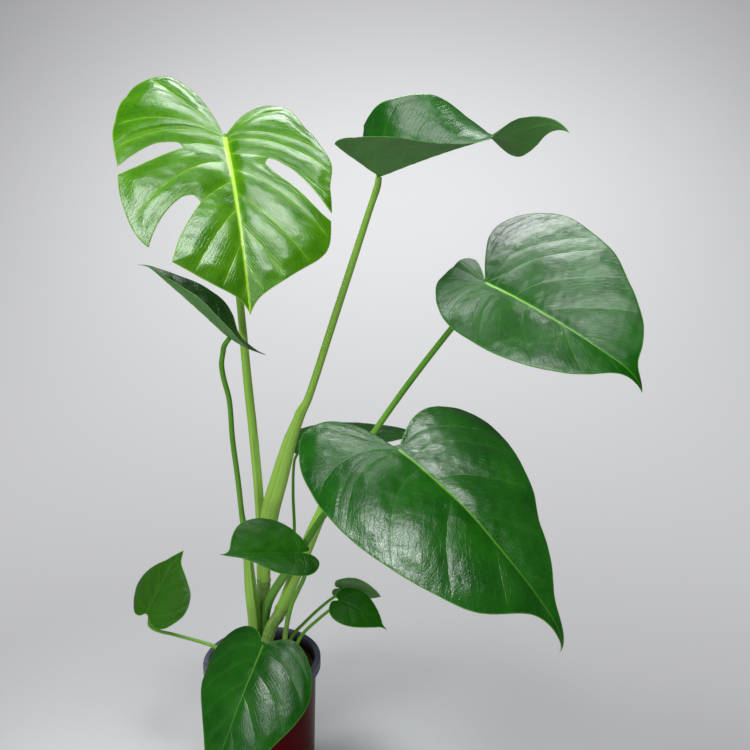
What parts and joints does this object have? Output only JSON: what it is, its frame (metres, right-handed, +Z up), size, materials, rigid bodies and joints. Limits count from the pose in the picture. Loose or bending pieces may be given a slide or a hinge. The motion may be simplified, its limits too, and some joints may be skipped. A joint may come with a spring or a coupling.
{
  "type": "potted monstera plant",
  "caption": "Young monstera in a round nursery pot: heart-shaped leaves and one split leaf on long stalks, rising from short stems in potting soil.",
  "frame": {"origin": "middle of the pot's underside, on the surface it stands on", "axes": "+Z up; the split leaf faces -Y and the large leaves reach towards +X"},
  "size_m": [0.5123, 0.404, 0.7565],
  "materials": {
    "pot_plastic": "satin",
    "potting_soil": "matte",
    "young_leaf": "gloss",
    "mature_leaf": "satin",
    "leaf_stalk": "satin",
    "stem": "satin"
  },
  "bodies": {
    "root": {"leaf_blade_back": "mature_leaf", "leaf_blade_fenestrated": "young_leaf", "leaf_blade_front": "mature_leaf", "leaf_blade_large": "mature_leaf", "leaf_blade_left": "mature_leaf", "leaf_blade_middle": "mature_leaf", "leaf_blade_right": "mature_leaf", "leaf_blade_small_back": "mature_leaf", "leaf_blade_small_front": "mature_leaf", "leaf_blade_small_left": "mature_leaf", "leaf_blade_top_right": "mature_leaf", "leaf_stalk_back": "leaf_stalk", "leaf_stalk_fenestrated": "leaf_stalk", "leaf_stalk_front": "leaf_stalk", "leaf_stalk_large": "leaf_stalk", "leaf_stalk_left": "leaf_stalk", "leaf_stalk_middle": "leaf_stalk", "leaf_stalk_right": "leaf_stalk", "leaf_stalk_small_back": "leaf_stalk", "leaf_stalk_small_front": "leaf_stalk", "leaf_stalk_small_left": "leaf_stalk", "leaf_stalk_top_right": "leaf_stalk", "nursery_pot": "pot_plastic", "potting_soil": "potting_soil", "stem_back": "stem", "stem_front": "stem"}
  },
  "joints": []
}
